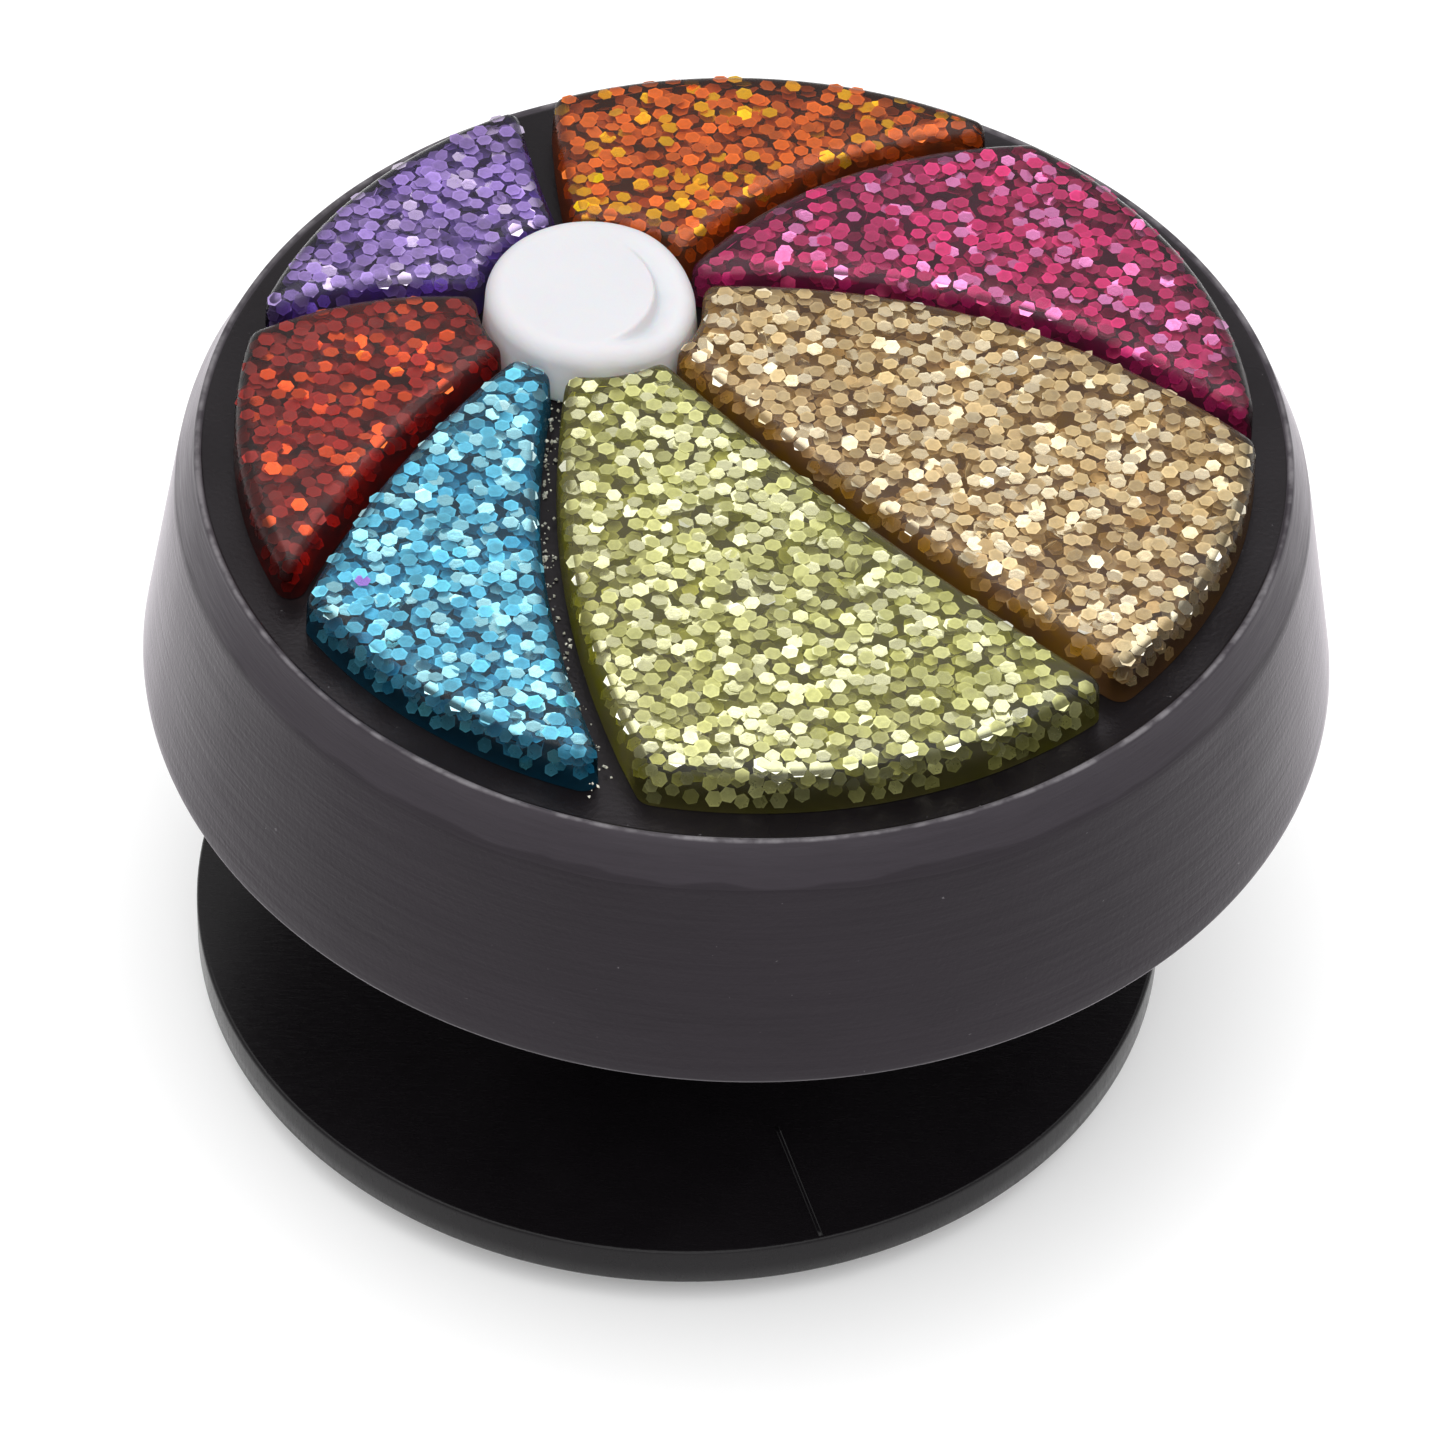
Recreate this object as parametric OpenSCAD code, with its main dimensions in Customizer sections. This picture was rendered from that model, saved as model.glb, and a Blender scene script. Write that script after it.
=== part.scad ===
// Push-in shoe charm: a flared round head with a beach-ball pattern of seven
// glitter panels around a white end cap, on a button back that snaps into a
// ventilation hole. The head's axis is Z; the button's underside is at Z = 0.

/* [Head] */
// Diameter of the head at its widest, near its underside
head_base_d = 16.2; // [15:0.1:18]
// Diameter at the foot of the top chamfer
head_shoulder_d = 15.2; // [14.8:0.1:15.4]
// Diameter of the flat top
head_top_d = 14.66; // [14.2:0.02:14.8]
// Height of the head from its underside to its flat top
head_h = 3.7; // [3:0.1:5]
// Height of the chamfer band under the flat top
chamfer_h = 0.6; // [0.3:0.05:0.9]
// Radius on the head's lower edge
lower_edge_r = 0.1; // [0.1:0.05:0.4]

/* [Glitter panels] */
// Height that the panels stand above the flat top
panel_h = 0.72; // [0.4:0.02:1.2]
// Diameter of the circle that the panels fill
panel_circle_d = 13.6; // [13.2:0.1:13.9]
// Rounding of each panel's corners
corner_r = 0.2; // [0.05:0.05:0.3]

/* [White end cap] */
// Distance of the cap's centre from the head's axis, along X
cap_x = -2.15; // [-2.3:0.05:-1.9]
// Distance of the cap's centre from the head's axis, along Y
cap_y = 2.1; // [1.9:0.05:2.3]
// Diameter of the cap
cap_d = 2.92; // [2.4:0.02:3]
// Height of the cap above the flat top
cap_h = 0.9; // [0.8:0.02:1.4]
// Radius on the cap's upper edge
cap_edge_r = 0.16; // [0.05:0.01:0.2]
// Diameter of the hole in the pattern that the cap sits in
cap_hole_d = 3.0; // [2.95:0.05:3.6]
// Height of the raised disc on top of the cap
crest_h = 0.12; // [0.05:0.01:0.2]
// Diameter of the circle that edges the raised disc
crest_d = 2.45; // [2:0.05:2.8]
// Shift of that circle from the cap's centre, towards -X
crest_shift = 0.2; // [0.1:0.05:0.5]

/* [Seam between the violet and orange panels] */
// Where it meets the panel circle, in degrees from +X
violet_orange_rim = 116.8; // [114:0.2:119]
// Where it meets the cap's hole, in degrees from +X
violet_orange_cap = 105; // [100:0.5:110]
// How far it bows from straight, to the left going inwards
violet_orange_bow = -0.05; // [-0.3:0.05:-0.05]
// Its width at the panel circle
violet_orange_gap = 0.46; // [0.2:0.02:0.6]

/* [Seam between the orange and pink panels] */
// Where it meets the panel circle, in degrees from +X
orange_pink_rim = 57; // [54:0.2:60]
// Where it meets the cap's hole, in degrees from +X
orange_pink_cap = 33.5; // [28:0.5:38]
// How far it bows from straight, to the left going inwards
orange_pink_bow = -0.63; // [-0.8:0.01:-0.4]
// Its width at the panel circle
orange_pink_gap = 0.2; // [0.1:0.02:0.4]

/* [Seam between the pink and gold panels] */
// Where it meets the panel circle, in degrees from +X
pink_gold_rim = 359.6; // [357:0.2:362]
// Where it meets the cap's hole, in degrees from +X
pink_gold_cap = 18; // [12:0.5:22]
// How far it bows from straight, to the left going inwards
pink_gold_bow = -0.9; // [-1.1:0.01:-0.7]
// Its width at the panel circle
pink_gold_gap = 0.2; // [0.1:0.02:0.4]

/* [Seam between the gold and green panels] */
// Where it meets the panel circle, in degrees from +X
gold_green_rim = 316; // [313:0.2:319]
// Where it meets the cap's hole, in degrees from +X
gold_green_cap = 315.5; // [310:0.5:320]
// How far it bows from straight, to the left going inwards
gold_green_bow = 0.19; // [0.05:0.01:0.4]
// Its width at the panel circle
gold_green_gap = 0.26; // [0.1:0.02:0.4]

/* [Seam between the green and blue panels] */
// Where it meets the panel circle, in degrees from +X
green_blue_rim = 258.4; // [256:0.2:261]
// Where it meets the cap's hole, in degrees from +X
green_blue_cap = 256; // [251:0.5:261]
// How far it bows from straight, to the left going inwards
green_blue_bow = 0.46; // [0.2:0.01:0.7]
// Its width at the panel circle
green_blue_gap = 0.36; // [0.1:0.02:0.5]

/* [Seam between the blue and red panels] */
// Where it meets the panel circle, in degrees from +X
blue_red_rim = 212.7; // [210:0.1:215]
// Where it meets the cap's hole, in degrees from +X
blue_red_cap = 227.5; // [222:0.5:232]
// How far it bows from straight, to the left going inwards
blue_red_bow = 0.26; // [0.1:0.01:0.5]
// Its width at the panel circle
blue_red_gap = 0.26; // [0.1:0.02:0.4]

/* [Seam between the red and violet panels] */
// Where it meets the panel circle, in degrees from +X
red_violet_rim = 168.8; // [166:0.2:171]
// Where it meets the cap's hole, in degrees from +X
red_violet_cap = 177; // [172:0.5:182]
// How far it bows from straight, to the left going inwards
red_violet_bow = 0.26; // [0.1:0.01:0.5]
// Its width at the panel circle
red_violet_gap = 0.18; // [0.1:0.02:0.4]

/* [All seams] */
// Width of every seam where it meets the cap's hole
gap_at_cap = 0.16; // [0.1:0.02:0.24]

/* [Button back] */
// Diameter of the snap disc
disc_d = 13.58; // [12:0.02:14]
// Thickness of the snap disc
disc_t = 1.14; // [0.9:0.02:1.6]
// Height of the bevel round the disc's underside
disc_bevel_h = 0.52; // [0.3:0.02:0.7]
// Width of that bevel
disc_bevel_w = 0.6; // [0.3:0.05:0.9]
// Shift of the button's axis from the head's axis, along X
button_x = -0.68; // [-0.8:0.02:0]
// Shift of the button's axis from the head's axis, along Y
button_y = -0.12; // [-0.3:0.02:0.3]
// Clear height between the disc and the head, for the shoe's upper
shoe_gap = 4.8; // [4.4:0.1:5.5]
// Diameter of the stem
stem_d = 5; // [4:0.1:5.2]
// Radius where the stem meets the disc
stem_fillet_r = 0.5; // [0.2:0.05:0.6]
// Diameter of the anchor flange inside the head
flange_d = 8.4; // [7:0.1:10]
// Thickness of the anchor flange
flange_t = 1.2; // [0.8:0.05:1.6]
// Diameter of the moulding gate's recess under the disc
gate_d = 2.2; // [1.5:0.1:3]
// Depth of the gate's recess
gate_depth = 0.25; // [0.1:0.05:0.4]

/* [Bond] */
// Thickness of the adhesive between the flange and the head
bond_t = 0.12; // [0.08:0.02:0.2]
// Clearance around the flange in the head's socket
socket_clearance = 0.06; // [0.04:0.01:0.1]

/* [Hidden] */
$fn = 96;
rim_fn = 144;       // segments on the panel circle and the cap's hole
corner_fn = 24;     // segments on a panel's rounded corners
arc_steps = 6;      // points on a small rounded edge
seam_steps = 14;    // points along each seam
overrun = 0.5;      // how far a seam's sides run past its two ends
head_z = disc_t + shoe_gap;
top_z = head_z + head_h;
panel_circle_r = panel_circle_d / 2;
cap_hole_r = cap_hole_d / 2;
cap_centre = [cap_x, cap_y];
socket_r = flange_d / 2 + socket_clearance;
socket_depth = flange_t + bond_t;
disc_edge_r = 0.06;         // rounding of the disc's upper edge

// A point at a radius and an angle in degrees.
function polar(r, a) = [r * cos(a), r * sin(a)];

// Points on a circular arc.
function arc(centre, r, from, to, steps) =
    [for (i = [0:steps]) centre + polar(r, from + (to - from) * i / steps)];

// The unit vector to the left of a line.
function left_of(p, q) = [p.y - q.y, q.x - p.x] / norm(q - p);

// A seam: its two ends, its bow and its width at the rim end.
function seam(rim, cap, bow, gap) =
    [polar(panel_circle_r, rim), cap_centre + polar(cap_hole_r, cap), bow, gap];

// Points along one side of a seam, from outside the rim to inside the cap's
// hole. The middle line is a shallow parabola of the seam's bow; side is 1 for
// its left and -1 for its right.
function seam_side(s, side) =
    let (across = left_of(s[0], s[1]), extra = overrun / norm(s[1] - s[0]))
    [for (i = [0:seam_steps])
        let (t = -extra + (1 + 2 * extra) * i / seam_steps,
             half_gap = (s[3] * (1 - t) + gap_at_cap * t) / 2)
        s[0] * (1 - t) + s[1] * t + across * (4 * t * (1 - t) * s[2] + side * half_gap)];

// Angle of a point about the head's axis, within 180 degrees of a nearby angle.
function angle_near(p, near) =
    let (a = atan2(p.y, p.x))
    a + 360 * round((near - a) / 360);

// A list in the opposite order.
function reversed(list) = [for (i = [len(list) - 1:-1:0]) list[i]];

violet_orange = seam(violet_orange_rim, violet_orange_cap, violet_orange_bow, violet_orange_gap);
orange_pink = seam(orange_pink_rim, orange_pink_cap, orange_pink_bow, orange_pink_gap);
pink_gold = seam(pink_gold_rim, pink_gold_cap, pink_gold_bow, pink_gold_gap);
gold_green = seam(gold_green_rim, gold_green_cap, gold_green_bow, gold_green_gap);
green_blue = seam(green_blue_rim, green_blue_cap, green_blue_bow, green_blue_gap);
blue_red = seam(blue_red_rim, blue_red_cap, blue_red_bow, blue_red_gap);
red_violet = seam(red_violet_rim, red_violet_cap, red_violet_bow, red_violet_gap);

// A panel between two seams, given in the clockwise order of the pattern: the
// wedge between them, cut by the panel circle and the cap's hole, with its
// corners rounded.
module panel(first, second) {
    first_side = seam_side(first, 1);
    second_side = seam_side(second, -1);
    wide_from = angle_near(first_side[0], 0);
    wide_to = angle_near(second_side[0], wide_from - 50);
    wedge = concat(reversed(first_side),
                   arc([0, 0], 1.3 * panel_circle_r, wide_from, wide_to, arc_steps),
                   second_side);
    translate([0, 0, top_z])
        linear_extrude(panel_h)
            offset(r = corner_r, $fn = corner_fn) offset(r = -corner_r)
                difference() {
                    intersection() {
                        circle(panel_circle_r, $fn = rim_fn);
                        polygon(wedge);
                    }
                    translate(cap_centre) circle(cap_hole_r, $fn = rim_fn);
                }
}

module violet_panel() { color([0.48, 0.36, 0.72]) panel(red_violet, violet_orange); }
module orange_panel() { color([0.85, 0.38, 0.06]) panel(violet_orange, orange_pink); }
module pink_panel() { color([0.78, 0.12, 0.46]) panel(orange_pink, pink_gold); }
module gold_panel() { color([0.76, 0.66, 0.4]) panel(pink_gold, gold_green); }
module green_panel() { color([0.68, 0.7, 0.28]) panel(gold_green, green_blue); }
module blue_panel() { color([0.2, 0.6, 0.76]) panel(green_blue, blue_red); }
module red_panel() { color([0.72, 0.1, 0.08]) panel(blue_red, red_violet); }

// Flared soft head with a chamfered rim and a socket for the anchor flange.
module head_body() {
    lower_edge = [head_base_d / 2 - lower_edge_r, lower_edge_r];
    profile = concat([[0, 0]],
                     arc(lower_edge, lower_edge_r, -90, 5, arc_steps),
                     [[head_shoulder_d / 2, head_h - chamfer_h],
                      [head_top_d / 2, head_h],
                      [0, head_h]]);
    color([0.13, 0.12, 0.13])
        difference() {
            translate([0, 0, head_z]) rotate_extrude() polygon(profile);
            translate([button_x, button_y, head_z - 1]) cylinder(r = socket_r, h = socket_depth + 1);
        }
}

// White cap with a softly rounded edge and a raised disc that leaves a
// crescent ledge on one side.
module end_cap() {
    edge = [cap_d / 2 - cap_edge_r, cap_h - cap_edge_r];
    profile = concat([[0, 0], [cap_d / 2, 0]], arc(edge, cap_edge_r, 0, 90, arc_steps), [[0, cap_h]]);
    color([0.94, 0.94, 0.95])
        translate([cap_x, cap_y, top_z])
            difference() {
                rotate_extrude() polygon(profile);
                translate([0, 0, cap_h - crest_h])
                    difference() {
                        cylinder(d = 2 * cap_d, h = 2 * crest_h);
                        translate([-crest_shift, 0, -crest_h]) cylinder(d = crest_d, h = 4 * crest_h);
                    }
            }
}

// Snap disc with a bevelled underside, stem and anchor flange, moulded in one piece.
module button_back() {
    edge = [disc_d / 2 - disc_edge_r, disc_t - disc_edge_r];
    fillet = [stem_d / 2 + stem_fillet_r, disc_t + stem_fillet_r];
    profile = concat([[0, 0], [disc_d / 2 - disc_bevel_w, 0], [disc_d / 2, disc_bevel_h]],
                     arc(edge, disc_edge_r, 0, 90, arc_steps),
                     arc(fillet, stem_fillet_r, -90, -180, arc_steps),
                     [[stem_d / 2, head_z], [flange_d / 2, head_z],
                      [flange_d / 2, head_z + flange_t], [0, head_z + flange_t]]);
    color([0.05, 0.05, 0.05])
        translate([button_x, button_y, 0])
            difference() {
                rotate_extrude() polygon(profile);
                translate([0, 0, -1]) cylinder(d = gate_d, h = gate_depth + 1);
            }
}

// Adhesive film that holds the flange in the head's socket.
module bond_film() {
    color([0.85, 0.85, 0.8])
        translate([button_x, button_y, head_z + flange_t]) cylinder(d = flange_d, h = bond_t);
}

head_body();
violet_panel();
orange_panel();
pink_panel();
gold_panel();
green_panel();
blue_panel();
red_panel();
end_cap();
button_back();
bond_film();
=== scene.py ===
"""Looks of a push-in shoe charm: a black soft-moulded head with seven glitter panels
and a white cap, on a button back. Lengths are millimetres until they reach a mesh."""
import math
import random

import bpy
import numpy as np
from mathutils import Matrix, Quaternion, Vector, noise
from mathutils.geometry import delaunay_2d_cdt


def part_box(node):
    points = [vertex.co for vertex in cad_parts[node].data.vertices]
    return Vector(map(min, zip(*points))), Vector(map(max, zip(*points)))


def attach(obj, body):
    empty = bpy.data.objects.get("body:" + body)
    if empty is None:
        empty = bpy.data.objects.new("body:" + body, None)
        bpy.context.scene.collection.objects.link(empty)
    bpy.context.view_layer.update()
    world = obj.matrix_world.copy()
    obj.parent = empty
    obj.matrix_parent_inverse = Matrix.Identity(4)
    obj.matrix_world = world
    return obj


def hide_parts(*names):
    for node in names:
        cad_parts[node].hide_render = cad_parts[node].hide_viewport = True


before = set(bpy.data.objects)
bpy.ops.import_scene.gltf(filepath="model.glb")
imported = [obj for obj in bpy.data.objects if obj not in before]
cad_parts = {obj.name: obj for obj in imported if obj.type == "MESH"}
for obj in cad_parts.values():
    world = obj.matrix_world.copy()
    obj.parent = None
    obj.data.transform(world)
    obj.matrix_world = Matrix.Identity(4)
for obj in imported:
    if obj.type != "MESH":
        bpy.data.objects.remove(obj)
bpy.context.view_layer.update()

MM = 0.001


def box_mm(node):
    """Lowest and highest corner of a CAD node, in millimetres."""
    low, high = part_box(node)
    return np.array(low) / MM, np.array(high) / MM


HEAD_LOW, HEAD_HIGH = box_mm("head_body")
HEAD_Z, TOP_Z = HEAD_LOW[2], HEAD_HIGH[2]
HEAD_R = HEAD_HIGH[0]
BUTTON_LOW, BUTTON_HIGH = box_mm("button_back")
BUTTON_X, BUTTON_Y = (BUTTON_LOW[:2] + BUTTON_HIGH[:2]) / 2
DISC_R = (BUTTON_HIGH[0] - BUTTON_LOW[0]) / 2
CAP_LOW, CAP_HIGH = box_mm("end_cap")
CAP_X, CAP_Y = (CAP_LOW[:2] + CAP_HIGH[:2]) / 2
CAP_R = (CAP_HIGH[0] - CAP_LOW[0]) / 2
CAP_H = CAP_HIGH[2] - CAP_LOW[2]
BOND_TOP = box_mm("bond_film")[1][2]

# The head: its shoulder, where the trimmed chamfer starts, the rim of its flat top, the thin
# lip on that rim, the radius of its lower edge, and the socket underneath.
SHOULDER_R, RIM_R = 7.6, 7.33
CHAMFER_H, EDGE_R = 0.6, 0.07
SHOULDER_Z = TOP_Z - CHAMFER_H
LIP_H, LIP_W = 0.035, 0.1
SOCKET_R = 4.26

# Radii at which the panels' outer wall starts to look into the black head, and fully does. There
# the resin is painted dark: painted shade.
RIM_SHADE_FROM, RIM_SHADE_TO = 6.35, 6.65


# ---------------------------------------------------------------- node helpers

def new_material(name):
    """An empty node material, with its tree and its output node."""
    material = bpy.data.materials.new(name)
    material.use_nodes = True
    tree = material.node_tree
    tree.nodes.clear()
    return material, tree, tree.nodes.new("ShaderNodeOutputMaterial")


def add(tree, kind, **values):
    """A node with some of its sockets or properties set."""
    node = tree.nodes.new(kind)
    sockets = {socket.name.lower().replace(" ", "_"): socket for socket in node.inputs}
    for key, value in values.items():
        if key in sockets:
            sockets[key].default_value = value
        else:
            setattr(node, key, value)
    return node


def position(tree, stretch=(1, 1, 1)):
    """Object coordinates in millimetres, stretched along X, Y and Z."""
    coords = tree.nodes.new("ShaderNodeTexCoord")
    mapping = tree.nodes.new("ShaderNodeMapping")
    mapping.inputs["Scale"].default_value = [s / MM for s in stretch]
    tree.links.new(coords.outputs["Object"], mapping.inputs["Vector"])
    return mapping.outputs["Vector"]


def noise_of(tree, vector, scale, detail=3.0, roughness=0.55):
    """A noise texture's value, at a scale in repeats per millimetre."""
    node = add(tree, "ShaderNodeTexNoise", scale=scale, detail=detail, roughness=roughness)
    tree.links.new(vector, node.inputs["Vector"])
    return node.outputs["Fac"]


def remap(tree, value, low, high, to_low, to_high):
    """A value mapped from one range to another, and clamped."""
    node = tree.nodes.new("ShaderNodeMapRange")
    for name, number in (("From Min", low), ("From Max", high),
                         ("To Min", to_low), ("To Max", to_high)):
        node.inputs[name].default_value = number
    tree.links.new(value, node.inputs["Value"])
    return node.outputs["Result"]


def ramp(tree, value, stops):
    """A colour ramp through (position, colour) stops."""
    node = tree.nodes.new("ShaderNodeValToRGB")
    elements = node.color_ramp.elements
    while len(elements) < len(stops):
        elements.new(0.5)
    for element, (place, colour) in zip(elements, stops):
        element.position = place
        element.color = (*colour, 1)
    tree.links.new(value, node.inputs["Fac"])
    return node.outputs["Color"]


def math_node(tree, operation, first, second):
    """A Math node on two values, each a socket or a number."""
    node = tree.nodes.new("ShaderNodeMath")
    node.operation = operation
    for socket, value in zip(node.inputs, (first, second)):
        if isinstance(value, (int, float)):
            socket.default_value = value
        else:
            tree.links.new(value, socket)
    return node.outputs["Value"]


def mix_colours(tree, blend, first, second):
    """Two colour sockets combined at full strength by a blend mode."""
    mix = tree.nodes.new("ShaderNodeMix")
    mix.data_type = "RGBA"
    mix.blend_type = blend
    mix.inputs["Factor"].default_value = 1.0
    tree.links.new(first, mix.inputs["A"])
    tree.links.new(second, mix.inputs["B"])
    return mix.outputs["Result"]


def height_in(tree, vector):
    """The Z part of a vector socket."""
    split = tree.nodes.new("ShaderNodeSeparateXYZ")
    tree.links.new(vector, split.inputs["Vector"])
    return split.outputs["Z"]


def radius_in(tree, vector):
    """The distance of a vector socket from the Z axis."""
    level = tree.nodes.new("ShaderNodeVectorMath")
    level.operation = "MULTIPLY"
    level.inputs[1].default_value = (1, 1, 0)
    tree.links.new(vector, level.inputs[0])
    length = tree.nodes.new("ShaderNodeVectorMath")
    length.operation = "LENGTH"
    tree.links.new(level.outputs["Vector"], length.inputs[0])
    return length.outputs["Value"]


def bump(tree, height, depth_mm):
    """A bump normal whose full height is depth_mm."""
    node = add(tree, "ShaderNodeBump", distance=depth_mm * MM)
    tree.links.new(height, node.inputs["Height"])
    return node.outputs["Normal"]


# ---------------------------------------------------------------- materials

# The dry bloom and the gloss of black PVC both lean a little towards purple.
BLOOM_TINT, GLOSS_TINT = (1.0, 0.94, 1.0, 1), (1.0, 0.92, 1.0, 1)


def black_pvc(name, low, high, rough, dusty, bloom):
    """Black soft PVC: fine grain, faint streaks round the wall, a dry bloom and dust. It is
    painted a little paler in a wavy band above the head's lower edge: painted light from the white
    floor."""
    material, tree, out = new_material(name)
    shader = add(tree, "ShaderNodeBsdfPrincipled", ior=1.45, specular_ior_level=0.26,
                 sheen_weight=bloom, sheen_roughness=0.3, sheen_tint=BLOOM_TINT,
                 specular_tint=GLOSS_TINT)
    place = position(tree)
    streaks = noise_of(tree, position(tree, (0.25, 0.25, 9)), 1.6, 4)
    grain = noise_of(tree, place, 14, 3)
    cloud = noise_of(tree, place, 0.35, 3)
    specks = noise_of(tree, place, 9, 2)
    # Painted light from the white floor: a wavy band above the head's lower edge is paler.
    wavy = remap(tree, noise_of(tree, position(tree, (1, 1, 0.2)), 0.5, 2), 0.3, 0.7, -0.3, 0.3)
    band = remap(tree, math_node(tree, "ADD", height_in(tree, place), wavy),
                 HEAD_Z + 0.75, HEAD_Z + 0.95, 0.16, 0)
    colour = ramp(tree, math_node(tree, "ADD", cloud, band), [(0.3, low), (0.7, high)])
    dust = ramp(tree, specks, [(dusty, (0, 0, 0)), (dusty + 0.05, (0.09, 0.086, 0.09))])
    tree.links.new(mix_colours(tree, "ADD", colour, dust), shader.inputs["Base Color"])
    shine = math_node(tree, "ADD", remap(tree, streaks, 0.3, 0.7, rough - 0.06, rough + 0.06),
                      remap(tree, cloud, 0.3, 0.7, -0.03, 0.05))
    tree.links.new(shine, shader.inputs["Roughness"])
    relief = math_node(tree, "ADD", streaks, grain)
    tree.links.new(bump(tree, relief, 0.0045), shader.inputs["Normal"])
    tree.links.new(shader.outputs["BSDF"], out.inputs["Surface"])
    return material


def scuffed_pvc():
    """The trimmed chamfer and the rounded lower edge, with fine scuff streaks. From a ragged line
    upwards the chamfer is painted paler than the wall, palest towards the lip: painted light. The
    lip is palest in patches: a painted highlight. The lower edge is only a touch paler: painted
    light from the white floor."""
    material, tree, out = new_material("scuffed_pvc")
    shader = add(tree, "ShaderNodeBsdfPrincipled", ior=1.45, specular_ior_level=0.35,
                 sheen_weight=0.7, sheen_roughness=0.3, sheen_tint=BLOOM_TINT,
                 specular_tint=GLOSS_TINT)
    place = position(tree)
    height = height_in(tree, place)
    ragged = noise_of(tree, place, 0.7, 2)
    streaks = noise_of(tree, position(tree, (0.5, 0.5, 7)), 2.4, 4, 0.65)
    level = remap(tree, height, SHOULDER_Z, TOP_Z, 0, 1)
    mask = math_node(tree, "ADD", level, remap(tree, ragged, 0.3, 0.7, -0.12, 0.12))
    # Painted highlight: the lip is palest in patches along its length.
    on_lip = remap(tree, height, TOP_Z + 0.2 * LIP_H, TOP_Z + 0.9 * LIP_H, 0, 0.5)
    worn = remap(tree, noise_of(tree, place, 3, 3), 0.4, 0.6, 0.25, 1)
    mask = math_node(tree, "ADD", math_node(tree, "MULTIPLY", mask, 0.5),
                     math_node(tree, "MULTIPLY", worn, on_lip))
    # Painted light: paler than the wall on the chamfer, rising towards the top, and a painted
    # highlight on the lip.
    pale = ramp(tree, mask, [(0.0, (0.0095, 0.0070, 0.0100)), (0.05, (0.0105, 0.0078, 0.0110)),
                             (0.08, (0.0205, 0.0168, 0.0215)), (0.3, (0.0215, 0.0178, 0.0225)),
                             (0.54, (0.029, 0.0248, 0.030)), (1.0, (0.14, 0.132, 0.14))])
    wear = ramp(tree, streaks, [(0.35, (0.86, 0.86, 0.86)), (0.7, (1.1, 1.1, 1.1))])
    tree.links.new(mix_colours(tree, "MULTIPLY", pale, wear), shader.inputs["Base Color"])
    tree.links.new(remap(tree, streaks, 0.3, 0.7, 0.42, 0.6), shader.inputs["Roughness"])
    tree.links.new(bump(tree, streaks, 0.006), shader.inputs["Normal"])
    tree.links.new(shader.outputs["BSDF"], out.inputs["Surface"])
    return material


def button_plastic():
    """Black moulded plastic, with a soft flow pattern and fine scuffs."""
    material, tree, out = new_material("button_plastic")
    shader = add(tree, "ShaderNodeBsdfPrincipled", ior=1.47, specular_ior_level=0.24)
    flow = noise_of(tree, position(tree), 0.5, 4)
    scuff = noise_of(tree, position(tree, (1, 6, 1)), 3.5, 5, 0.7)
    black = [(0.3, (0.0050, 0.0042, 0.0050)), (0.75, (0.0080, 0.0068, 0.0080))]
    tree.links.new(ramp(tree, flow, black), shader.inputs["Base Color"])
    tree.links.new(remap(tree, scuff, 0.35, 0.7, 0.2, 0.32), shader.inputs["Roughness"])
    tree.links.new(bump(tree, scuff, 0.003), shader.inputs["Normal"])
    tree.links.new(shader.outputs["BSDF"], out.inputs["Surface"])
    return material


def cap_pvc():
    """Milk-white soft PVC that lets a little light in. It is painted whiter towards its foot: painted
    light on its wall.
    """
    material, tree, out = new_material("cap_pvc")
    shader = add(tree, "ShaderNodeBsdfPrincipled", ior=1.45, subsurface_weight=0.45,
                 subsurface_scale=0.3 * MM)
    place = position(tree)
    cloud = noise_of(tree, place, 0.8, 3)
    grain = noise_of(tree, place, 16, 3)
    # Painted light: the cap is whiter towards its foot and greyer on top.
    level = math_node(tree, "ADD", remap(tree, height_in(tree, place), TOP_Z, TOP_Z + CAP_H, 0, 0.8),
                      remap(tree, cloud, 0.3, 0.7, 0, 0.2))
    white = [(0.0, (0.90, 0.90, 0.91)), (0.35, (0.72, 0.72, 0.735)),
             (0.72, (0.545, 0.545, 0.567)), (1.0, (0.53, 0.53, 0.553))]
    tree.links.new(ramp(tree, level, white), shader.inputs["Base Color"])
    tree.links.new(remap(tree, grain, 0.3, 0.7, 0.42, 0.55), shader.inputs["Roughness"])
    tree.links.new(bump(tree, grain, 0.002), shader.inputs["Normal"])
    tree.links.new(shader.outputs["BSDF"], out.inputs["Surface"])
    return material


def adhesive():
    """Cured clear adhesive, slightly yellow and cloudy."""
    material, tree, out = new_material("adhesive")
    shader = add(tree, "ShaderNodeBsdfPrincipled", ior=1.45)
    cloud = noise_of(tree, position(tree), 1.5, 3)
    tree.links.new(ramp(tree, cloud, [(0.3, (0.5, 0.48, 0.38)), (0.7, (0.7, 0.69, 0.6))]),
                   shader.inputs["Base Color"])
    tree.links.new(remap(tree, cloud, 0.3, 0.7, 0.2, 0.4), shader.inputs["Roughness"])
    tree.links.new(shader.outputs["BSDF"], out.inputs["Surface"])
    return material


def resin_masks(tree):
    """Masks over a resin body: its upright walls, the outside of its surface, and its far
    walls as seen from inside, which let the light of lamps pass."""
    side = tree.nodes.new("ShaderNodeNewGeometry")
    level = math_node(tree, "ABSOLUTE", height_in(tree, side.outputs["Normal"]), 0)
    wall = remap(tree, level, 0.3, 0.8, 1, 0)
    light_path = tree.nodes.new("ShaderNodeLightPath")
    in_sight = math_node(tree, "SUBTRACT", 1.0, light_path.outputs["Is Shadow Ray"])
    steep = math_node(tree, "MULTIPLY", remap(tree, level, 0.8, 0.97, 1, 0), in_sight)
    outside = math_node(tree, "SUBTRACT", 1.0, side.outputs["Backfacing"])
    far_wall = math_node(tree, "MULTIPLY", side.outputs["Backfacing"], steep)
    return wall, outside, far_wall


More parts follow.
